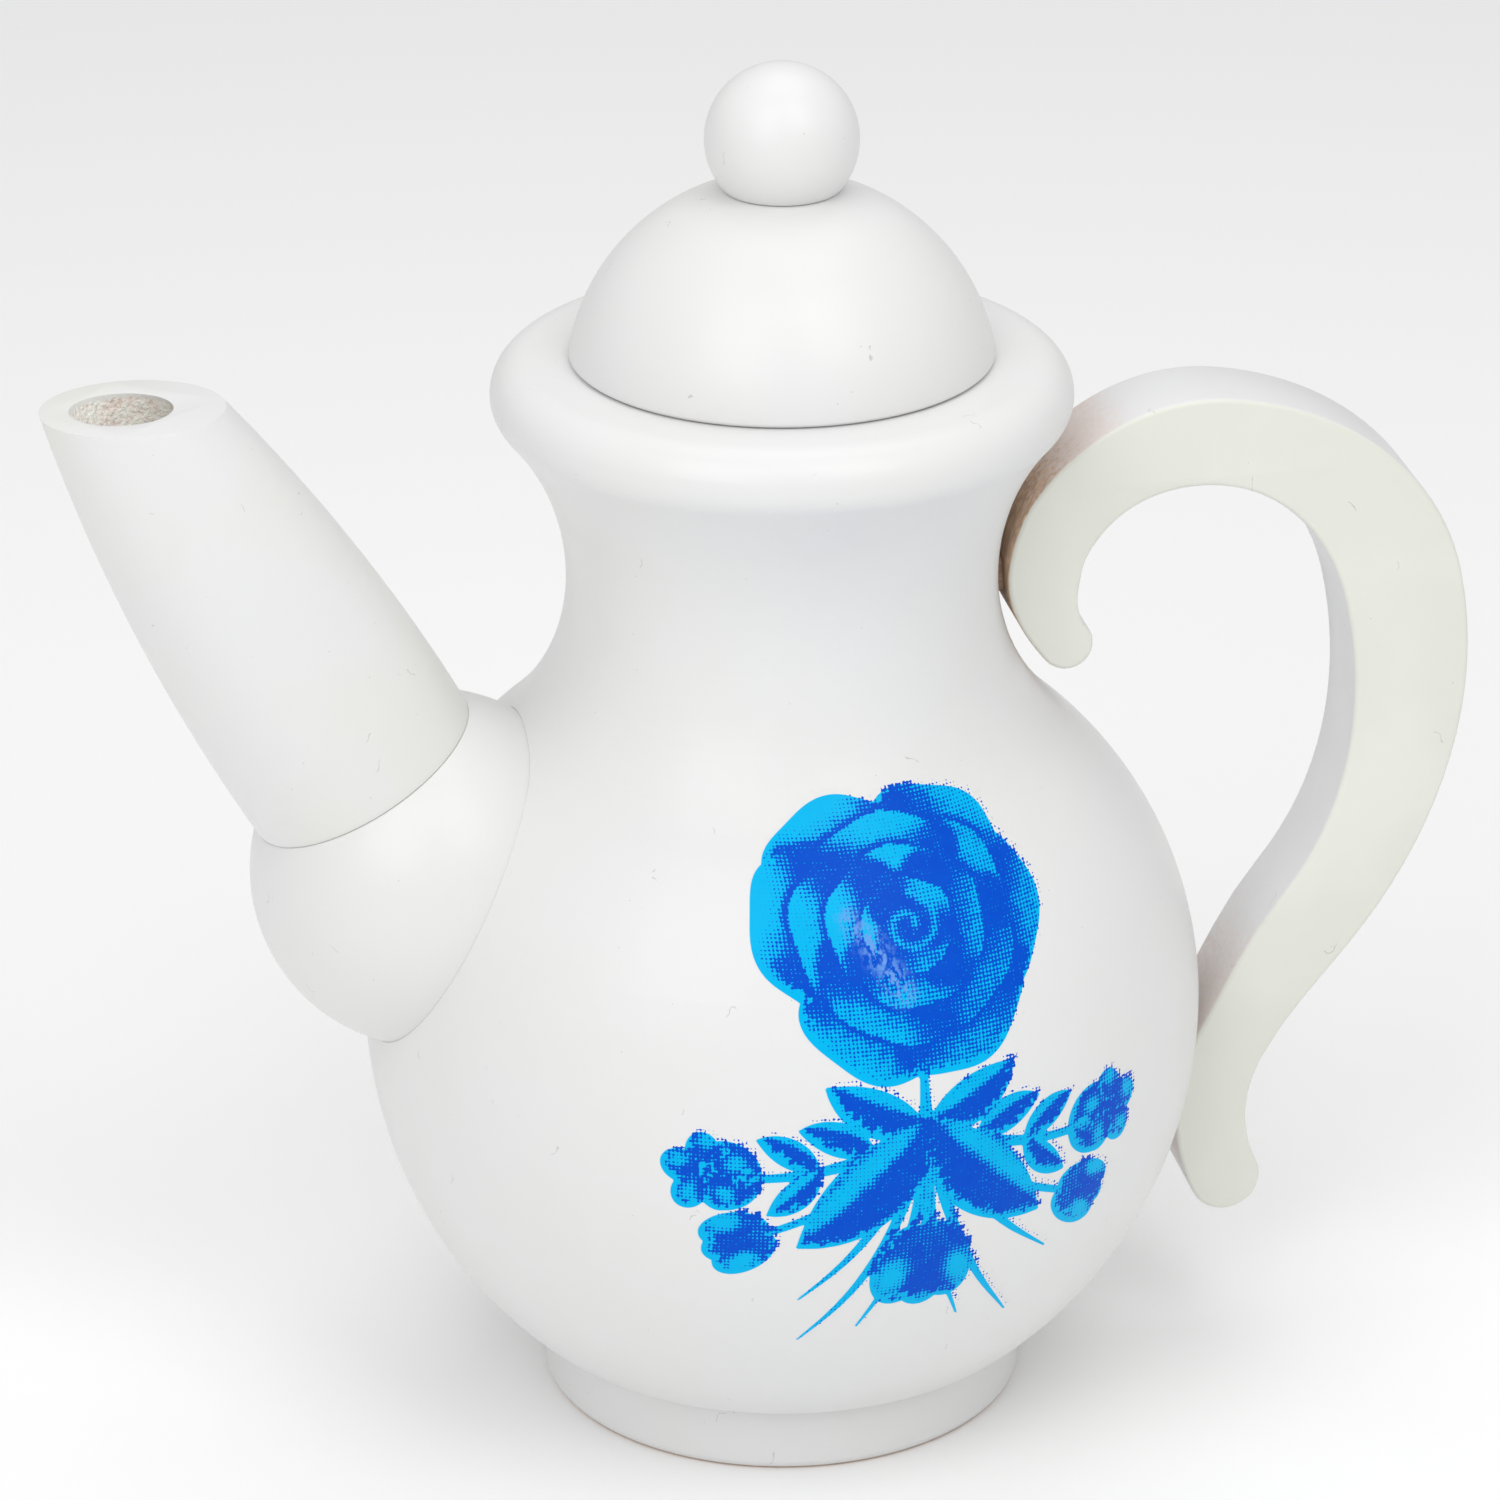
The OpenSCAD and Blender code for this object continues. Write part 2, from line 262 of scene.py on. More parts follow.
def printed_ink():
    """Two screen inks. It reads the mesh's attributes: "inside" is how far inside the cyan ink's outline a
    place lies in millimetres, "tone" how far the blue screen is open, "rub" how worn the ink is, and "s" and
    "t" are the place on the body's side in millimetres."""
    s = Shader("printed_ink", 0.36, Specular_IOR_Level=0.07)
    per_mm = 2 * math.pi / DOT_PITCH
    waves = [s.math("COSINE", s.math("MULTIPLY", s.attribute(axis), per_mm)) for axis in "st"]
    screen = s.math("MULTIPLY_ADD", s.math("ADD", *waves), 0.22, 0.45)
    tone = s.attribute("tone")
    blotches = s.math("MULTIPLY_ADD", s.noise(1.5, 4), 0.55, -0.275)
    grit = s.math("MULTIPLY_ADD", s.noise(0.26, 2), 1.0, -0.53)
    uneven = s.math("MULTIPLY_ADD", s.math("ADD", blotches, grit), s.ramp(tone, 0.0, 0.15), tone)
    printed = s.ramp(s.math("SUBTRACT", uneven, screen), -0.05, 0.07)
    dots = s.math("MULTIPLY", printed, s.ramp(tone, 0.01, 0.04))
    in_outline = s.ramp(s.attribute("inside"), -0.03, 0.03)
    cyan = s.mix(in_outline, s.coat(WHITE, WARM_WHITE), s.mix(s.noise(5, 3), CYAN, CYAN_DEEP))
    inks = s.mix(dots, cyan, s.mix(s.noise(2, 4), BLUE, BLUE_PALE))
    streaks = s.noise(0.5, 4, s.vector("MULTIPLY", s.place, (1.0, 1.0, 0.35)))
    rubbed = s.math("MULTIPLY", s.ramp(streaks, 0.42, 0.6), s.attribute("rub"))
    s.colour(s.mix(rubbed, inks, RUBBED))
    s.roughness(s.math("MULTIPLY_ADD", dots, 0.08, 0.32))
    s.bump(s.noise(0.5, 2), 0.015, 0.5)
    return s.material


# ---------------------------------------------------------------- mesh code
def ease(low, high, value):
    """0 at low and 1 at high, with a smooth rise between. The value is a number or an array."""
    share = np.clip((value - low) / (high - low), 0, 1)
    return share * share * (3 - 2 * share)


def along_curve(a, b, c, d, u):
    """The point a share u of the way from b to c, on the smooth curve through all four."""
    return (b * 2 + (c - a) * u + (a * 2 - b * 5 + c * 4 - d) * u * u + (b * 3 - a - c * 3 + d) * u**3) / 2


def outline_of(node, centre=Vector(), axis=UP):
    """The outline of a turned CAD node as [(radius, height along axis)], from the lower end of its axis up.
    It is read where the half plane towards -Y cuts the node's mesh."""
    side = Vector((0, 1, 0))
    cut = bmesh.new()
    cut.from_mesh(frame["nodes"][node].data)
    bmesh.ops.remove_doubles(cut, verts=cut.verts, dist=1e-7)
    for normal, both in ((side.cross(axis), True), (side, False)):
        geometry = cut.verts[:] + cut.edges[:] + cut.faces[:]
        bmesh.ops.bisect_plane(
            cut, geom=geometry, dist=1e-8, plane_co=centre, plane_no=normal,
            clear_inner=both, clear_outer=True
        )
    place = {v: Vector((abs(v.co.y - centre.y), (v.co - centre).dot(axis))) for v in cut.verts}
    ends = [v for v in cut.verts if len(v.link_edges) == 1] or cut.verts[:]
    start = min(ends, key=lambda v: (round(place[v].y, 6), place[v].x))
    here, edge, found = start, None, []
    while here and not (found and here is start):
        found.append(place[here])
        edge = next((e for e in here.link_edges if e is not edge), None)
        here = edge.other_vert(here) if edge else None
    cut.free()
    return without_straight_points(found)


def without_straight_points(points, tolerance=3e-7):
    """The points without those that lie on a straight line between their neighbours."""
    kept = [points[0]]
    for i in range(1, len(points) - 1):
        run = points[i + 1] - kept[-1]
        away = points[i] - kept[-1]
        if away.length > 1e-7 and abs(run.x * away.y - run.y * away.x) > tolerance * max(run.length, 1e-9):
            kept.append(points[i])
    return kept + [points[-1]]


def turning(points, i):
    """How far the outline turns at a point, in radians."""
    return (points[i] - points[i - 1]).angle(points[i + 1] - points[i])


def refined(points, step=OUTLINE_STEP, rounding=EDGE_ROUND):
    """The outline with its smooth stretches split into short steps, and its corners rounded a little."""
    corners = [0] + [i for i in range(1, len(points) - 1) if turning(points, i) > CORNER] + [len(points) - 1]
    fine = []
    for start, end in zip(corners, corners[1:]):
        run = points[start:end + 1]
        padded = [2 * run[0] - run[1]] + run + [2 * run[-1] - run[-2]]
        for a, b, c, d in zip(padded, padded[1:], padded[2:], padded[3:]):
            count = max(1, math.ceil((c - b).length / step))
            fine += [along_curve(a, b, c, d, k / count) for k in range(count)]
        if end != corners[-1]:
            before, after = fine[-1] - points[end], points[end + 1] - points[end]
            cut = min(rounding, before.length * 0.45, after.length * 0.45)
            first = points[end] + before.normalized() * cut
            last = points[end] + after.normalized() * cut
            fine += [first, (first + last + 2 * points[end]) / 4]
            points = points[:end] + [last] + points[end + 1:]
    return fine + [points[-1]]


def add_piece(name, mesh, materials, body, node=None):
    """Shades the mesh smooth, apart from its sharp edges, and puts it in the scene on its body, hiding the
    CAD node that it stands for.
    """
    mesh.name = name
    mesh.shade_smooth()
    mesh.set_sharp_from_angle(angle=SHARP)
    mesh.materials.clear()
    for material in materials:
        mesh.materials.append(material)
    piece = bpy.data.objects.new(name, mesh)
    bpy.context.scene.collection.objects.link(piece)
    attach(piece, body)
    if node:
        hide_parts(node)
    return piece


def turned_mesh(outline, segments=TURNED_SEGMENTS, centre=Vector(), axis=UP):
    """A closed mesh of the outline turned round an axis. Points of no radius become one vertex each."""
    across = Vector((0, 1, 0))
    forward = across.cross(axis)
    verts, faces, rings = [], [], []
    for radius, height in outline:
        base = centre + axis * height
        if radius < 1e-6:
            rings.append([len(verts)] * segments)
            verts.append(base)
            continue
        rings.append(list(range(len(verts), len(verts) + segments)))
        for k in range(segments):
            turn = 2 * math.pi * k / segments
            verts.append(base + (forward * math.cos(turn) + across * math.sin(turn)) * radius)
    for low, high in zip(rings, rings[1:]):
        for k in range(segments):
            n = (k + 1) % segments
            corners = [low[k], low[n], high[n], high[k]]
            faces.append(list(dict.fromkeys(corners)))
    mesh = bpy.data.meshes.new("turned")
    mesh.from_pydata(verts, [], faces)
    return mesh


def facing_out(mesh):
    """The mesh with all its faces facing outwards."""
    shape = bmesh.new()
    shape.from_mesh(mesh)
    bmesh.ops.recalc_face_normals(shape, faces=shape.faces)
    shape.to_mesh(mesh)
    shape.free()
    return mesh


def cut_by(mesh, *cutters):
    """The mesh with the closed shapes in cutters taken away."""
    holder = bpy.data.objects.new("cut", facing_out(mesh))
    bpy.context.scene.collection.objects.link(holder)
    tools = []
    for cutter in cutters:
        tool = bpy.data.objects.new("cutter", facing_out(cutter))
        bpy.context.scene.collection.objects.link(tool)
        modifier = holder.modifiers.new("cut", "BOOLEAN")
        modifier.object, modifier.operation, modifier.solver = tool, "DIFFERENCE", "EXACT"
        tools.append(tool)
    result = bpy.data.meshes.new_from_object(holder.evaluated_get(bpy.context.evaluated_depsgraph_get()))
    for leftover in [holder] + tools:
        bpy.data.objects.remove(leftover)
    return result


def ball_shape(radius):
    """A closed ball round the spout ball's centre, for cutting."""
    steps = 96
    outline = [
        Vector((radius * math.sin(math.pi * k / steps), -radius * math.cos(math.pi * k / steps)))
        for k in range(steps + 1)
    ]
    outline[0].x = outline[-1].x = 0
    return turned_mesh(outline, 192, BALL_CENTRE)


def rod_shape(start, direction, radius, length, segments=96):
    """A closed round rod, for cutting holes."""
    outline = [Vector((0, 0)), Vector((radius, 0)), Vector((radius, length)), Vector((0, length))]
    return turned_mesh(outline, segments, start, direction)


def slab_shape(low, high):
    """A closed box, for cutting level and upright faces."""
    corners = [(x, y, z) for x in (low[0], high[0]) for y in (low[1], high[1]) for z in (low[2], high[2])]
    mesh = bpy.data.meshes.new("slab")
    sides = [(0, 1, 3, 2), (4, 6, 7, 5), (0, 4, 5, 1), (2, 3, 7, 6), (0, 2, 6, 4), (1, 5, 7, 3)]
    mesh.from_pydata(corners, [], sides)
    return mesh


def rounded_edges(mesh, chosen, width, segments=3):
    """The mesh with the edges that chosen picks rounded off."""
    shape = bmesh.new()
    shape.from_mesh(mesh)
    shape.normal_update()
    edges = [e for e in shape.edges if e.calc_face_angle(0) > SHARP and chosen(e)]
    bmesh.ops.bevel(
        shape, geom=edges, offset=width, segments=segments, profile=0.5, affect="EDGES", clamp_overlap=True
    )
    shape.to_mesh(mesh)
    shape.free()
    return mesh


def mark(mesh, name, value_at):
    """Gives each vertex a number that the materials read."""
    attribute = mesh.attributes.new(name, "FLOAT", "POINT")
    attribute.data.foreach_set("value", [value_at(v.co) for v in mesh.vertices])


# ---------------------------------------------------------------- the turned pieces
PAINT_ON_WOOD = paint("white_paint_worn", WHITE, WARM_WHITE, PRIMER)
IVORY = paint("ivory_paint", WHITE, PALE_CREAM)
# The handle's flat faces: white paint tinted cream, a painted warm reflection
FACE_PAINT_WITH_WARM_REFLECTION = paint("face_paint_with_painted_reflection", CREAM, CREAM_LIGHT)
SAWN_EDGE = paint("sawn_edge_paint", SAWN_WHITE, SAWN_WHITE_LIGHT, PRIMER)
BARE = bare_wood()
DRILLED = drilled_wood()

BODY_OUTLINE = refined(outline_of("body"))
RIM_POINT = max(range(len(BODY_OUTLINE)), key=lambda k: BODY_OUTLINE[k].y)
BODY_SIDE = BODY_OUTLINE[:RIM_POINT]
BODY_HOLLOW = [p for p in BODY_OUTLINE[RIM_POINT:] if p.y < RIM_TOP - 5 * MM]


def add_body():
    """The body, with the ball's pocket, the pouring channel and the handle's two dowel holes.

    Its inside is bare wood from a little below the rim, apart from a band of the upper belly, wider than the
    mouth, that stays painted."""
    mouth_r = max(p.x for p in outline_of("lid") if p.y < RIM_TOP - 1 * MM) + 0.6 * MM
    widest = max(BODY_HOLLOW, key=lambda p: (round(p.x, 6), p.y))

    def bare_at(p):
        reach = widest.x + 0.3 * MM if p.z < widest.y + 1 * MM else mouth_r
        inside = math.hypot(p.x, p.y) < reach and p.z > SEAM_Z + 6 * MM
        return ease(1.5 * MM, 4 * MM, RIM_TOP - p.z) if inside else 0

    holes = [ball_shape(BALL_R + GLUE_GAP), rod_shape(BALL_CENTRE, RIGHT, BORE_R, -BALL_CENTRE.x)]
    for dowel in ("upper_handle_dowel", "lower_handle_dowel"):
        low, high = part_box(dowel)
        start = Vector((low.x - 0.2 * MM, 0, (low.z + high.z) / 2))
        holes.append(rod_shape(start, RIGHT, (high.z - low.z) / 2 + 0.05 * MM, high.x - low.x, 48))
    mesh = cut_by(turned_mesh(BODY_OUTLINE), *holes)
    mark(mesh, "bare", bare_at)
    return add_piece("painted_body", mesh, [PAINT_ON_WOOD], "pot", "body")


def add_turned(name, node, body, bare_at, segments=TURNED_SEGMENTS):
    """A turned piece whose wood shows where bare_at says."""
    mesh = facing_out(turned_mesh(refined(outline_of(node)), segments))
    mark(mesh, "bare", bare_at)
    return add_piece(name, mesh, [PAINT_ON_WOOD], body, node)


def add_ball():
    """The spout's ball: turned round the spout's axis, flat at the back, with the pouring channel."""
    outline = refined(outline_of("spout_ball", BALL_CENTRE, SPOUT_AXIS))
    back = slab_shape((BALL_HIGH.x, -0.1, 0), (0.1, 0.1, 0.2))
    channel = rod_shape(BALL_CENTRE, RIGHT, BORE_R, 0.05)
    mesh = cut_by(turned_mesh(outline, TURNED_SEGMENTS, BALL_CENTRE, SPOUT_AXIS), channel, back)
    mark(mesh, "bare", lambda p: 0)
    return add_piece("painted_spout_ball", mesh, [PAINT_ON_WOOD], "pot", "spout_ball")


def run_on(side, length, fitted=30 * MM, count=6):
    """The side's outline run on by that length, on a curve fitted to its last stretch."""
    last = side[-1].y
    upper = [p for p in side if p.y > last - fitted]
    curve = np.polyfit([p.y for p in upper], [p.x for p in upper], 2)
    heights = [last + length * (k + 1) / count for k in range(count)]
    return side + [Vector((np.polyval(curve, h), h)) for h in heights]


def off_spout_axis(p):
    """The vector to a place from the nearest point of the spout's axis."""
    away = p - BALL_CENTRE
    return away - SPOUT_AXIS * away.dot(SPOUT_AXIS)


def torn(p):
    """How far the torn wall of the drilled hole stands off its true radius."""
    fine = noise.noise(Vector((p.x, p.y, p.z)) / (0.55 * MM))
    coarse = noise.noise(Vector((p.y, p.z, p.x)) / (2.1 * MM))
    return (0.10 * fine + 0.12 * coarse) * MM


def add_spout():
    """The spout: its turned side runs on past the mouth, and a level cut then gives the mouth its slant.
    The wall of its drilled hole is rough bare wood, with a thin rim of paint at the mouth."""
    mouth = (SPOUT_TOP - BALL_CENTRE.z) / SPOUT_AXIS.z
    side = [p for p in outline_of("spout", BALL_CENTRE, SPOUT_AXIS) if p.x > BORE_R * 1.2]
    if side[0].y > side[-1].y:
        side.reverse()
    foot = side[0].y
    side = refined(run_on([p for p in side if p.y < mouth - 0.01 * MM], 8 * MM))
    far = side[-1].y
    rings = math.ceil((far - foot) / WALL_STEP)
    wall = [Vector((BORE_R, far + (foot - far) * k / rings)) for k in range(rings + 1)]
    outline = side + wall
    mesh = turned_mesh(outline + outline[:1], TURNED_SEGMENTS, BALL_CENTRE, SPOUT_AXIS)
    shape = bmesh.new()
    shape.from_mesh(mesh)
    bmesh.ops.remove_doubles(shape, verts=shape.verts, dist=1e-7)
    shape.to_mesh(mesh)
    shape.free()
    mesh = cut_by(mesh, slab_shape((-0.2, -0.1, SPOUT_TOP), (0.1, 0.1, 0.3)))
    rounded_edges(mesh, lambda e: all(abs(v.co.z - SPOUT_TOP) < 1e-5 for v in e.verts), MOUTH_ROUND)
    for v in mesh.vertices:
        out = off_spout_axis(v.co)
        if out.length < BORE_R + 1e-5 and v.co.z < SPOUT_TOP - LIP:
            v.co += out.normalized() * torn(v.co) * ease(LIP, LIP + 1 * MM, SPOUT_TOP - v.co.z)
    piece = add_piece("painted_spout", mesh, [IVORY, DRILLED], "pot", "spout")
    for face in mesh.polygons:
        in_hole = off_spout_axis(face.center).length < BORE_R + 0.35 * MM
        if in_hole and face.center.z < SPOUT_TOP - LIP + 0.05 * MM:
            face.material_index = 1
    return piece


def add_handle(body_surface):
    """The handle board: the CAD's own mesh with its sawn edges eased. Its flat faces are cream, a warm
    reflection painted into the same white paint, and its sawn sides neutral, and the sides lose their paint
    towards the joints with the body."""
    shape = bmesh.new()
    shape.from_mesh(frame["nodes"]["handle"].data)
    bmesh.ops.remove_doubles(shape, verts=shape.verts, dist=1e-7)
    bmesh.ops.dissolve_limit(shape, angle_limit=math.radians(0.5), verts=shape.verts, edges=shape.edges)
    mesh = bpy.data.meshes.new("board")
    shape.to_mesh(mesh)
    shape.free()

    def gap_to_body(p):
        return (p - body_surface.find_nearest(p)[0]).length

    def on_board_edge(e):
        flat = all(abs(abs(v.co.y) - BOARD_HALF) < 1e-6 for v in e.verts)
        free = all(gap_to_body(v.co) > 0.3 * MM for v in e.verts)
        return flat and free

    def bare_at(p):
        """Wood shows at the neck, and only thin paint at the belly."""
        most, reach = (0.95, 11 * MM) if p.z > BALL_CENTRE.z else (0.5, 14 * MM)
        return most * (1 - ease(0, reach, gap_to_body(p)))

    rounded_edges(mesh, on_board_edge, BOARD_EDGE)
    mark(mesh, "bare", bare_at)
    piece = add_piece("painted_handle", mesh, [FACE_PAINT_WITH_WARM_REFLECTION, SAWN_EDGE], "pot", "handle")
    for face in mesh.polygons:
        # Flat faces take the cream paint with its painted warm reflection, the sawn sides the neutral paint
        face.material_index = 0 if abs(face.normal.y) > FLAT_SHARE else 1
    return piece


def foot_bare_at(p):
    """The underside of the foot is bare."""
    return 1 - ease(FOOT_BARE, FOOT_PAINTED, p.z)


def lid_bare_at(p):
    """The underside of the lid and its spigot are bare."""
    return 1 if p.z < LID_BARE_TOP and math.hypot(p.x, p.y) < LID_BARE_R else 0


body = add_body()
add_turned("painted_foot", "foot", "pot", foot_bare_at)
add_turned("painted_lid", "lid", "lid", lid_bare_at)
add_turned("painted_knob", "knob", "lid", lambda p: 0, 160)
add_ball()
add_spout()
body_tree = BVHTree.FromPolygons(
    [v.co for v in body.data.vertices], [list(f.vertices) for f in body.data.polygons]
)
add_handle(body_tree)
for dowel in ("knob_dowel", "upper_handle_dowel", "lower_handle_dowel"):
    slots = frame["nodes"][dowel].data.materials
    slots.clear()
    slots.append(BARE)


# ---------------------------------------------------------------- the printed flowers
# Places on the print are (s, t) in millimetres: s runs round the body's front, and t up its side from the
# widest ring. Headings and bends are in degrees, from the s axis.
S, T = np.meshgrid(np.arange(-36, 40, INK_STEP), np.arange(-34, 50, INK_STEP), indexing="ij")
# The place where the stems meet, and the rose's centre
KNOT, ROSE = (2, 6), (2, 29)
# Half widths along a stem and a blade, and along a leaf as shares of its widest
STEM = (1.0, 0.8, 0.65, 0.55, 0.5)
BLADE = (0.9, 0.7, 0.5, 0.15)
LEAF = (0.1, 0.55, 0.9, 1, 0.85, 0.5, 0.04)
# Each ring of the rose: its number of petals, how far out they lie, and their half sizes outwards and across
ROSE_RINGS = [(6, 10.8, (7.4, 9.4)), (5, 7.2, (6.6, 8.8)), (4, 4.2, (5.4, 7.2)), (3, 1.8, (3.8, 4.8))]


def smooth_line(points, count=6):
    """Points along a smooth curve through the given ones, whatever numbers each holds."""
    p = np.array(points, float)
    p = np.vstack([2 * p[0] - p[1], p, 2 * p[-1] - p[-2]])
    line = []
    for run in zip(p, p[1:], p[2:], p[3:]):
        line += [along_curve(*run, u) for u in np.arange(count) / count]
    return np.array(line + [p[-2]])


def ribbon(points):
    """A tapered ribbon through (s, t, half width) points: the distance outside it, how far along it each
    place is, from 0 to 1, and how far to its left, as a share of its half width."""
    line = smooth_line(points)
    outside = np.full(S.shape, 99.0)
    along, across = np.zeros(S.shape), np.zeros(S.shape)
    for k, (a, b) in enumerate(zip(line, line[1:])):
        run_s, run_t = b[0] - a[0], b[1] - a[1]
        length = np.hypot(run_s, run_t)
        share = np.clip(((S - a[0]) * run_s + (T - a[1]) * run_t) / length**2, 0, 1)
        off_s, off_t = S - a[0] - share * run_s, T - a[1] - share * run_t
        half = np.maximum(a[2] + share * (b[2] - a[2]), 0.05)
        away = np.hypot(off_s, off_t) - half
        nearer = away < outside
        outside = np.where(nearer, away, outside)
        along = np.where(nearer, (k + share) / (len(line) - 1), along)
        across = np.where(nearer, (run_s * off_t - run_t * off_s) / length / half, across)
    return outside, along, across


def oval(centre, size, turn, waves):
    """A turned oval with a waved edge: the distance outside it, and each place in shares of its size.

    The waves are given by their number, their depth as a share of the size, and their phase."""
    c, s = np.cos(np.radians(turn)), np.sin(np.radians(turn))
    x = ((S - centre[0]) * c + (T - centre[1]) * s) / size[0]
    y = ((T - centre[1]) * c - (S - centre[0]) * s) / size[1]
    number, depth, phase = waves
    wave = depth * np.cos(number * np.arctan2(y, x) + np.radians(phase))
    return (np.hypot(x, y) - 1 - wave) * min(size), x, y


class Artwork:
    """Two inks on the grid: outside is the distance outside the cyan shapes, tone is how far the blue screen
    is open, from 0 to 1, and rub is how worn the ink is."""

    def __init__(self):
        self.outside = np.full(S.shape, 99.0)
        self.tone = np.zeros(S.shape)
        self.rub = np.zeros(S.shape)

    def lay(self, outside, tone):
        """Lays a shape over what is there already."""
        self.outside = np.minimum(self.outside, outside)
        self.tone = np.where(outside < 0, tone, self.tone)

    def petal(self, centre, size, turn=0, waves=(0, 0, 0), lit=(0, 0), spread=(0.25, 0.85), light=1.0):
        """A blue petal that opens to cyan round the place lit, in shares of its size. What it covers is dark
        along its edge."""
        outside, x, y = oval(centre, size, turn, waves)
        glow = ease(spread[1], spread[0], np.hypot(x - lit[0], y - lit[1]))
        shade = np.where(self.outside < 0, 0.95 * ease(1.5, 0.2, outside), 0)
        self.tone = np.maximum(self.tone, shade)
        self.lay(outside, 1 - light * glow)

    def leaf(self, points, side):
        """A leaf that is lit along the left of its middle if side is 1, and along the right if it is -1."""
        outside, along, across = ribbon(points)
        glow = ease(0.55, 0.1, abs(across * side - 0.5)) * ease(0.0, 0.25, along) * ease(1.0, 0.75, along)
        self.lay(outside, 1 - 0.9 * glow)

    def stem(self, points, tone=0.35):
        """A stroke of one even tone."""
        self.lay(ribbon(points)[0], tone)

    def brighten(self, points, light):
        """Closes the blue screen along a soft stroke."""
        self.tone = self.tone * (1 - light * ease(0.8, -0.8, ribbon(points)[0]))

    def darken(self, points, depth):
        """Opens the blue screen along a fine stroke, where there is ink already."""
        darker = np.maximum(self.tone, depth * ease(0.3, -0.3, ribbon(points)[0]))
        self.tone = np.where(self.outside < 0, darker, self.tone)


def away_from(place, heading, distance):
    """The place that far from another one."""
    turn = math.radians(heading)
    return place[0] + distance * math.cos(turn), place[1] + distance * math.sin(turn)


def stroke(start, heading, length, bend, halves):
    """(s, t, half width) points of a brush stroke that sets off at heading and turns by bend on its way."""
    points = [(start[0], start[1], halves[0])]
    steps = len(halves) - 1
    for k in range(steps):
        place = away_from(points[-1], heading + bend * (k + 0.5) / steps, length / steps)
        points.append((*place, halves[k + 1]))
    return points


def headings(points):
    """The heading of each stretch between points."""
    return [math.degrees(math.atan2(b[1] - a[1], b[0] - a[0])) for a, b in zip(points, points[1:])]


def lay_leaf(art, start, heading, length, bend, lit_side):
    """A pointed leaf with a dark vein."""
    line = stroke(start, heading, length, bend, [0.22 * length * share for share in LEAF])
    art.leaf(line, lit_side)
    art.darken([(s, t, 0.015 * length) for s, t, _ in line[:-1]], 0.9)


def lay_small_flower(art, centre, reach, petals=5):
    """An open flower with a dark eye."""
    for k in range(petals):
        heading = 90 + 360 * k / petals
        place = away_from(centre, heading, 0.55 * reach)
        art.petal(place, (0.5 * reach, 0.42 * reach), heading, lit=(0.3, 0), spread=(0.1, 0.9), light=0.85)
    art.petal(centre, (0.2 * reach, 0.2 * reach), light=0)


def lay_bud(art, base, heading, size):
    """A closed bud: a middle petal, one folded over each side of it, and three sepals."""
    for lean in (0, 28, -28):
        place = away_from(base, heading + lean, 0.85 * size)
        art.petal(place, (size, 0.62 * size), heading + lean / 2, lit=(0.4, 0.012 * lean), spread=(0.1, 0.8))
    for lean in (62, -62, 0):
        art.stem(stroke(base, heading + lean, 0.8 * size, -0.6 * lean, (1, 0.8, 0.3)), 0.8)


def lay_spray(art, side, chance):
    """One side of the spray: blades, a stem with a bud, and a stem of paired leaves with a flower."""

    def grow(start, heading, length, bend, halves):
        heading += chance.uniform(-5, 5)
        return stroke(start, heading if side > 0 else 180 - heading, length, side * bend, halves)

    for heading, length in ((-88, 29), (-78, 33), (-67, 27)):
        art.stem(grow(KNOT, heading, length, 26, BLADE))
    low = grow(KNOT, -50, 23, 28, STEM)
    art.stem(low)
    lay_bud(art, low[-1], headings(low)[-1], 4.2)
    high = grow(KNOT, -24, 27, 34, STEM)
    art.stem(high)
    for k, (start, heading) in enumerate(zip(high[1:], headings(high)[1:])):
        for lean in (1, -1):
            lay_leaf(art, start, heading + 48 * lean, 9.5 - 1.2 * k, -24 * lean, side)
    lay_small_flower(art, high[-1], 5)


def lay_middle(art):
    """The rose's stem with two small leaves, and two broad leaves with a bud that hangs between them."""
    for side in (1, -1):
        lay_leaf(art, KNOT, 90 - 76 * side, 13, 24 * side, side)
    art.stem(stroke(KNOT, 90, 7, 0, STEM))
    art.stem(stroke(KNOT, -90, 16, 0, STEM))
    lay_bud(art, away_from(KNOT, -90, 14), -90, 6)
    for side in (1, -1):
        lay_leaf(art, KNOT, -90 + 38 * side, 21, 16 * side, side)


def lay_rose(art):
    """The open rose: rings of petals from the outside in, lighter towards the upper left, and a spiral
    heart."""
    for ring, (count, away, size) in enumerate(ROSE_RINGS):
        for k in range(count):
            heading = 360 * (k + ring / 2) / count + 6 * math.sin(3.7 * k + ring)
            light = 0.74 + 0.26 * math.cos(math.radians(heading - 145))
            place = away_from(ROSE, heading, away)
            waves = (5, 0.04, 70 * k)
            art.petal(place, size, heading, waves, lit=(1.5, -0.3), spread=(0.75, 1.5), light=light)
    heart = [(*away_from(ROSE, 55 * k, 0.7 + 0.4 * k), 0.3) for k in range(9)]
    art.brighten(heart, 0.85)


def flowers():
    """A rose over a spray of leaves, buds and small flowers, with a rubbed streak across the rose."""
    art = Artwork()
    chance = np.random.default_rng(3)
    for side in (1, -1):
        lay_spray(art, side, chance)
    lay_middle(art)
    lay_rose(art)
    streak = [(-4.5, 31, 1), (-2, 27, 1.6), (0.5, 22, 1.4)]
    art.rub = ease(1.2, -1.6, ribbon(streak)[0])
    return art


def ragged(reach=0.35):
    """Small random steps for the edge of the blue screen, in millimetres."""
    steps = np.random.default_rng(5).standard_normal(S.shape)
    steps += sum(np.roll(steps, move, (0, 1)) for move in ((1, 0), (0, 1), (1, 1)))
    return reach * steps / steps.std()


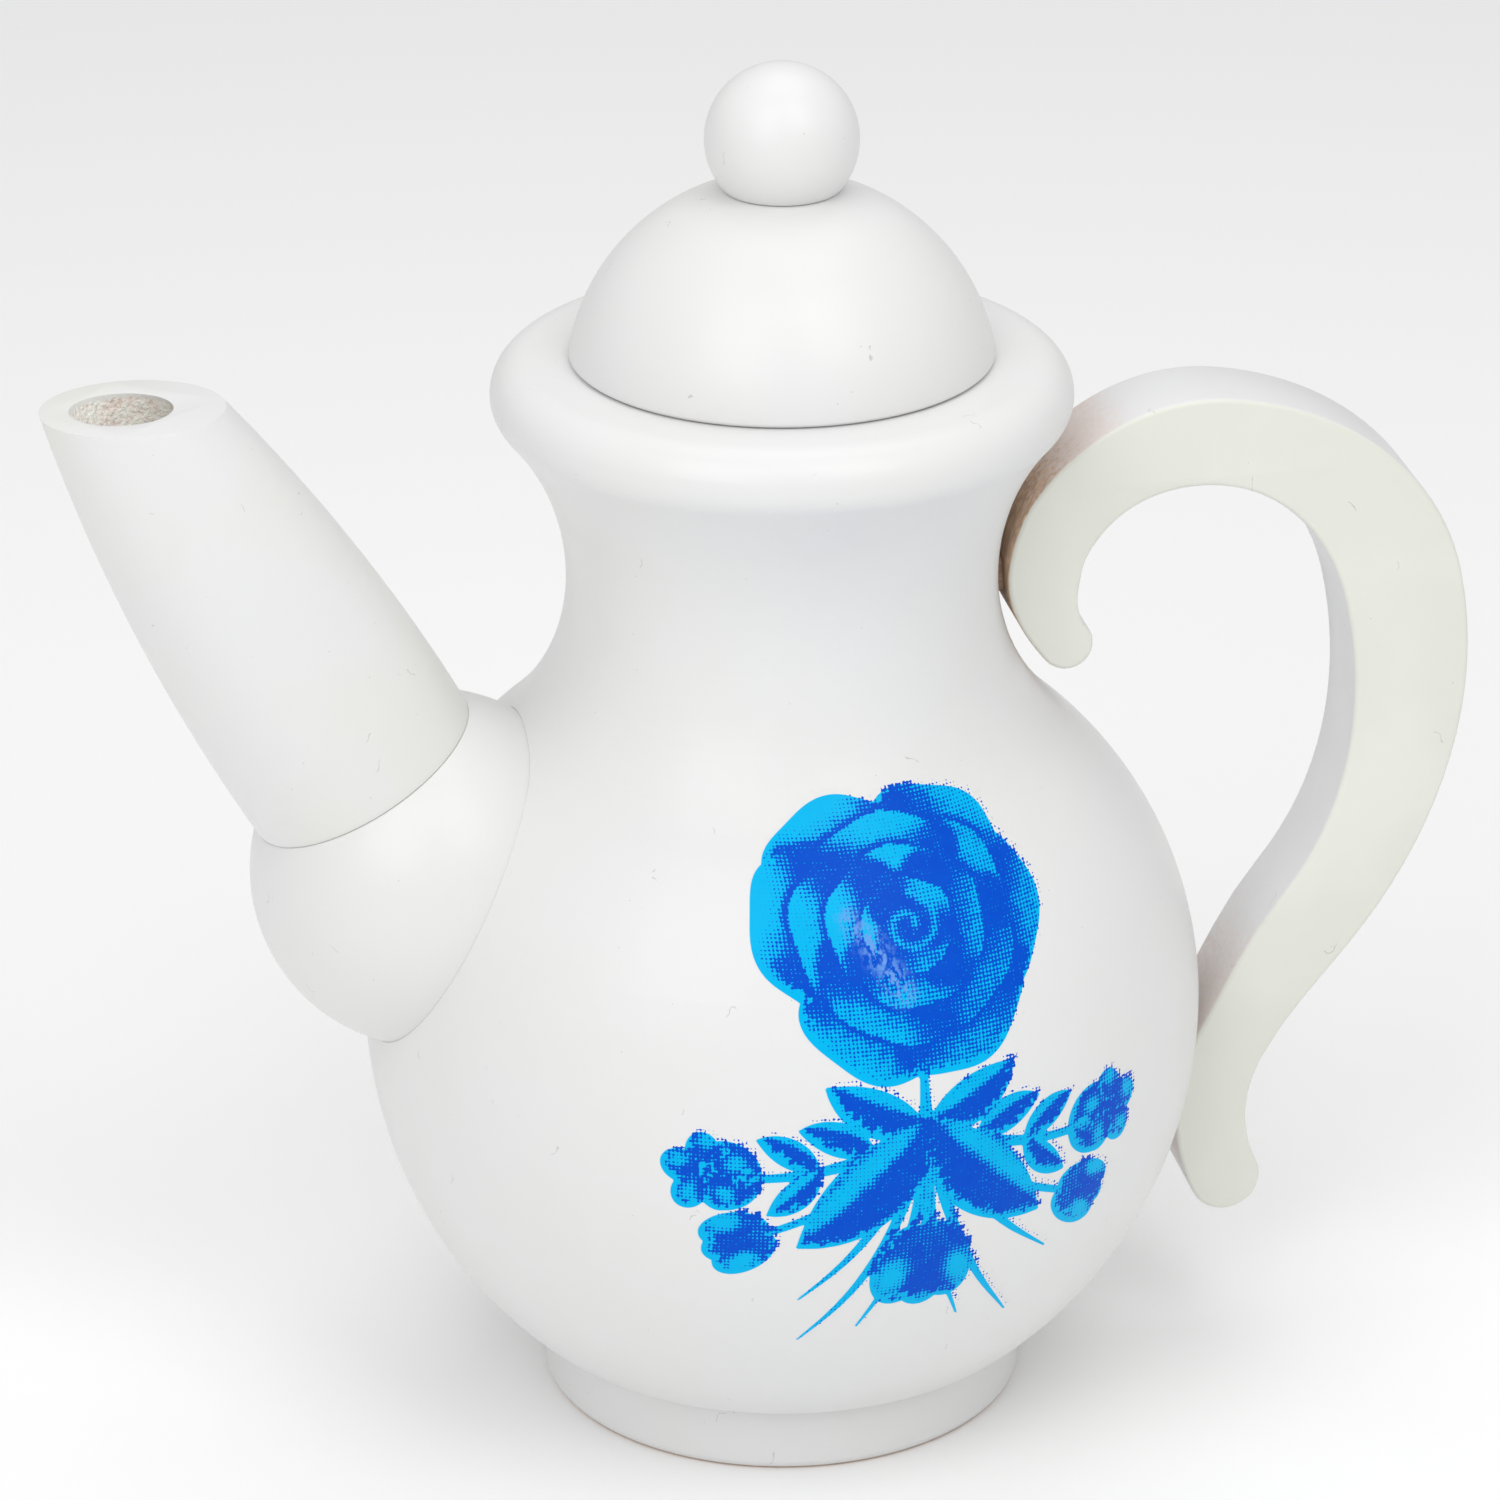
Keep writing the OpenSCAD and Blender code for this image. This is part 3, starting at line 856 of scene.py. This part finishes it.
def film_of(inside):
    """The grid's cells where inside is above zero, clipped along its zero line. Each vertex lies between two
    grid points: returns those points, the share of the second one, and the faces."""
    index, faces = {}, []

    def vertex(a, b):
        return index.setdefault((min(a, b), max(a, b)), len(index))

    printed = inside > 0
    cells = printed[:-1, :-1] | printed[1:, :-1] | printed[1:, 1:] | printed[:-1, 1:]
    for i, j in np.argwhere(cells).tolist():
        ring = [(i, j), (i + 1, j), (i + 1, j + 1), (i, j + 1)]
        face = []
        for a, b in zip(ring, ring[1:] + ring[:1]):
            if printed[a]:
                face.append(vertex(a, a))
            if printed[a] != printed[b]:
                face.append(vertex(a, b))
        faces.append(face)
    first = tuple(np.array([a for a, b in index]).T)
    second = tuple(np.array([b for a, b in index]).T)
    drop = inside[first] - inside[second]
    share = np.where(drop == 0, 0, np.clip(inside[first] / np.where(drop == 0, 1, drop), 0.1, 0.9))
    return first, second, share, faces


def on_body_side(s, t, lift):
    """Places on the body's outside, raised by lift along its normal."""
    side = np.array([p for p in BODY_SIDE if p.y > SEAM_Z + 1 * MM])
    run = np.r_[0, np.cumsum(np.hypot(*np.diff(side, axis=0).T))] / MM
    run -= run[np.argmax(side[:, 0])]
    r, z = np.interp(t, run, side[:, 0]), np.interp(t, run, side[:, 1])
    slope_r, slope_z = (np.interp(t, run, np.gradient(side[:, k], run * MM)) for k in (0, 1))
    turn = PRINT_TURN + s * MM / r
    out = r + lift * slope_z
    return np.stack([out * np.sin(turn), -out * np.cos(turn), z - lift * slope_r], axis=-1)


def add_print():
    """The flowers as a closed film of ink on the body.

    The blue screen is printed a little up and to the right of the cyan, so cyan shows along one side of each
    shape and ragged blue dots along the other."""

    def shifted(grid):
        return np.roll(grid, (INK_SHIFT, INK_SHIFT), (0, 1))

    art = flowers()
    inside, blue_inside = -art.outside, shifted(-art.outside)
    blue_inside += ragged()
    tone = shifted(art.tone) * ease(-0.1, 0.7, blue_inside)
    first, second, share, faces = film_of(np.maximum(inside, blue_inside + 0.1))
    layers = {
        name: grid[first] * (1 - share) + grid[second] * share
        for name, grid in (("s", S), ("t", T), ("inside", inside), ("tone", tone), ("rub", art.rub))
    }
    count = len(share)
    places = [on_body_side(layers["s"], layers["t"], lift) for lift in (INK_TOP, INK_UNDER)]
    directed = {(a, b) for face in faces for a, b in zip(face, face[1:] + face[:1])}
    rim = [(a, b) for a, b in directed if (b, a) not in directed]
    under = [[v + count for v in reversed(face)] for face in faces]
    walls = [(b, a, a + count, b + count) for a, b in sorted(rim)]
    mesh = bpy.data.meshes.new("print")
    mesh.from_pydata(np.concatenate(places).tolist(), [], faces + under + walls)
    for name, values in layers.items():
        mesh.attributes.new(name, "FLOAT", "POINT").data.foreach_set("value", np.tile(values, 2))
    add_piece("printed_flowers", mesh, [printed_ink()], "pot")


add_print()


# ---------------------------------------------------------------- studio
def add_floor():
    """A plain pale floor under the foot."""
    corners = [(x * FLOOR_HALF, y * FLOOR_HALF, 0) for x, y in ((-1, -1), (1, -1), (1, 1), (-1, 1))]
    mesh = bpy.data.meshes.new("floor")
    mesh.from_pydata(corners, [], [(0, 1, 2, 3)])
    mesh.materials.append(Shader("floor", 0.9, Base_Color=FLOOR).material)
    floor = bpy.data.objects.new("floor", mesh)
    bpy.context.scene.collection.objects.link(floor)


def add_world(strength):
    """Even white light from all round."""
    world = bpy.data.worlds.new("studio")
    world.use_nodes = True
    background = world.node_tree.nodes["Background"]
    background.inputs["Color"].default_value = (1, 1, 1, 1)
    background.inputs["Strength"].default_value = strength
    bpy.context.scene.world = world


def aim(thing, target, azimuth, elevation, distance):
    """Puts a lamp or camera in the scene, facing the target from an azimuth and elevation in degrees.

    Azimuth 0 lies towards -Y."""
    a, e = math.radians(azimuth), math.radians(elevation)
    back = Vector((math.sin(a) * math.cos(e), -math.cos(a) * math.cos(e), math.sin(e)))
    thing.location = target + back * distance
    thing.rotation_mode = "QUATERNION"
    thing.rotation_quaternion = back.to_track_quat("Z", "Y")
    bpy.context.scene.collection.objects.link(thing)


def add_light(name, azimuth, elevation, distance, size, power):
    """A soft oblong lamp that faces the middle of the pot. Its power is in watts."""
    light = bpy.data.lights.new(name, "AREA")
    light.shape = "RECTANGLE"
    light.size, light.size_y = size
    light.energy = power
    aim(bpy.data.objects.new(name, light), LIT_PLACE, azimuth, elevation, distance)


def add_camera():
    """The camera, with a long lens and only the shift that the framing needs."""
    camera = bpy.data.objects.new("camera", bpy.data.cameras.new("camera"))
    camera.data.sensor_width = 36
    camera.data.lens = 156
    camera.data.shift_x, camera.data.shift_y = -0.0213, 0.010
    aim(camera, VIEWED_PLACE, -11, 23.95, 0.780)
    bpy.context.scene.camera = camera


add_floor()
add_world(0.55)
add_light("key", -40, 42, 1.2, (0.7, 0.95), 4.6)
add_light("fill", 24, 50, 0.9, (0.4, 0.6), 2.0)
add_light("top", 160, 75, 1.0, (0.7, 0.7), 2.1)
add_camera()
bpy.context.scene.view_settings.view_transform = "Standard"
